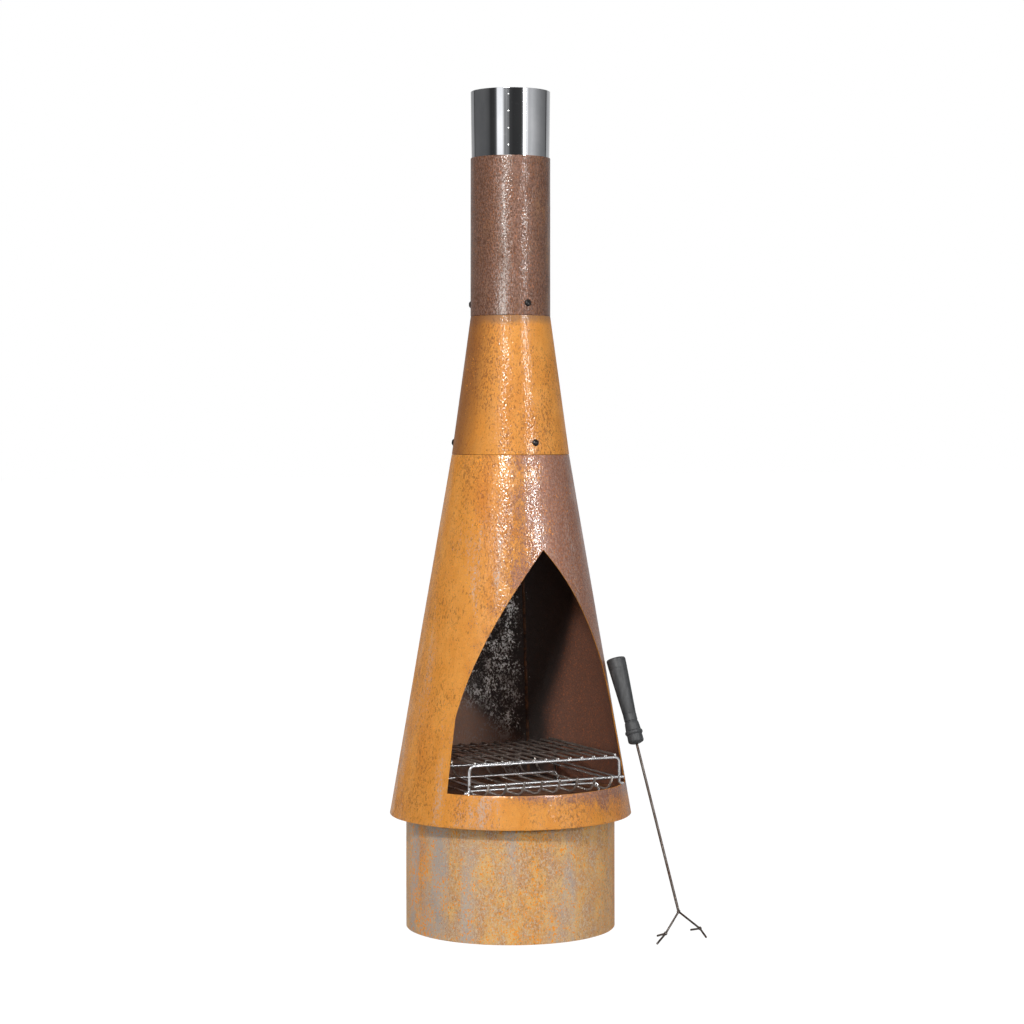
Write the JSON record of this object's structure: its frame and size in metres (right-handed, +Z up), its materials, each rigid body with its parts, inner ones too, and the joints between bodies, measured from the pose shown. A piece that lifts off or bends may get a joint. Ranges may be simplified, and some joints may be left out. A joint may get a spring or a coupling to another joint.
{
  "type": "chiminea",
  "caption": "Free-standing rusted-steel chiminea: tapering fire house with a pointed-arch opening on a drum, two-part chimney, bright outlet ring, cooking grid, log grate and poker.",
  "frame": {"origin": "centre of the drum's bottom rim, on the ground", "axes": "+Z up along the chimney's axis; the arched opening faces -Y; +X is to the right of someone facing the opening"},
  "size_m": [0.4018, 0.4114, 1.25],
  "materials": {
    "drum_sheet": "bare mild steel with a thin, streaky tan and orange rust patina, satin",
    "fire_house_sheet": "mild steel rusted to an ochre-orange patina with dark speckles, satin sparkle",
    "chimney_sheet": "mild steel rusted to an ochre-orange patina with dark specks, satin",
    "pipe_sheet": "mild steel rusted to a fine-grained brown patina, satin sparkle",
    "floor_sheet": "mild steel, dark brown rust and a little soot, matt",
    "inner_steel": "mild steel, dark brown rust, matt",
    "weld_metal": "weld bead rusted brown-orange, matt",
    "black_fasteners": "black oxide steel, semi-matt",
    "polished_steel": "polished stainless steel sheet, mirror bright",
    "spot_weld": "small dull grey spot welds",
    "bright_wire": "chromed steel wire, bright",
    "grid_wire": "plated steel wire, dulled, satin",
    "log_grate_wire": "plated steel wire, dulled, satin",
    "poker_handle": "turned wood painted dark grey, matt",
    "poker_steel": "bare steel wire browned by handling and light rust, satin"
  },
  "bodies": {
    "shell": {"base_drum": "drum_sheet", "drum_seam_weld": "weld_metal", "drum_tabs": "inner_steel", "fire_floor": "floor_sheet", "floor_bolts": "black_fasteners", "floor_nuts": "black_fasteners", "firebox_shell": "fire_house_sheet", "firebox_seam_weld": "weld_metal", "lower_collar": "inner_steel", "lower_joint_screws": "black_fasteners", "lower_joint_nuts": "black_fasteners", "chimney_cone": "chimney_sheet", "cone_seam_weld": "weld_metal", "upper_collar": "inner_steel", "upper_joint_screws": "black_fasteners", "upper_joint_nuts": "black_fasteners", "flue_pipe": "pipe_sheet", "pipe_seam_weld": "weld_metal"},
    "outlet_ring": {"outlet_ring": "polished_steel", "ring_lap_strip": "polished_steel", "ring_spot_welds": "spot_weld"},
    "cooking_grid": {"grid_front_frame": "bright_wire", "grid_rear_frame": "grid_wire", "grid_side_rails": "grid_wire", "grid_cross_bars": "grid_wire", "grid_wires": "grid_wire", "grid_lower_rails": "grid_wire"},
    "log_grate": {"log_grate_bars": "log_grate_wire", "log_grate_wires": "log_grate_wire"},
    "poker": {"poker_grip": "poker_handle", "poker_collar": "poker_handle", "poker_rod": "poker_steel", "poker_tines": "poker_steel", "poker_prongs": "poker_steel", "poker_welds": "poker_steel"}
  },
  "joints": [
    {"name": "outlet_ring_lift", "type": "slide", "parent": "shell", "child": "outlet_ring", "axis": [0, 0, 1], "range_m": [0, 0.06]},
    {"name": "cooking_grid_lift", "type": "slide", "parent": "shell", "child": "cooking_grid", "axis": [0, -0.7071, 0.7071], "range_m": [0, 0.09]},
    {"name": "log_grate_lift", "type": "slide", "parent": "shell", "child": "log_grate", "axis": [0, 0, 1], "range_m": [0, 0.003]},
    {"name": "poker_lift", "type": "slide", "parent": "shell", "child": "poker", "axis": [0, 0, 1], "range_m": [0, 0.3]}
  ]
}
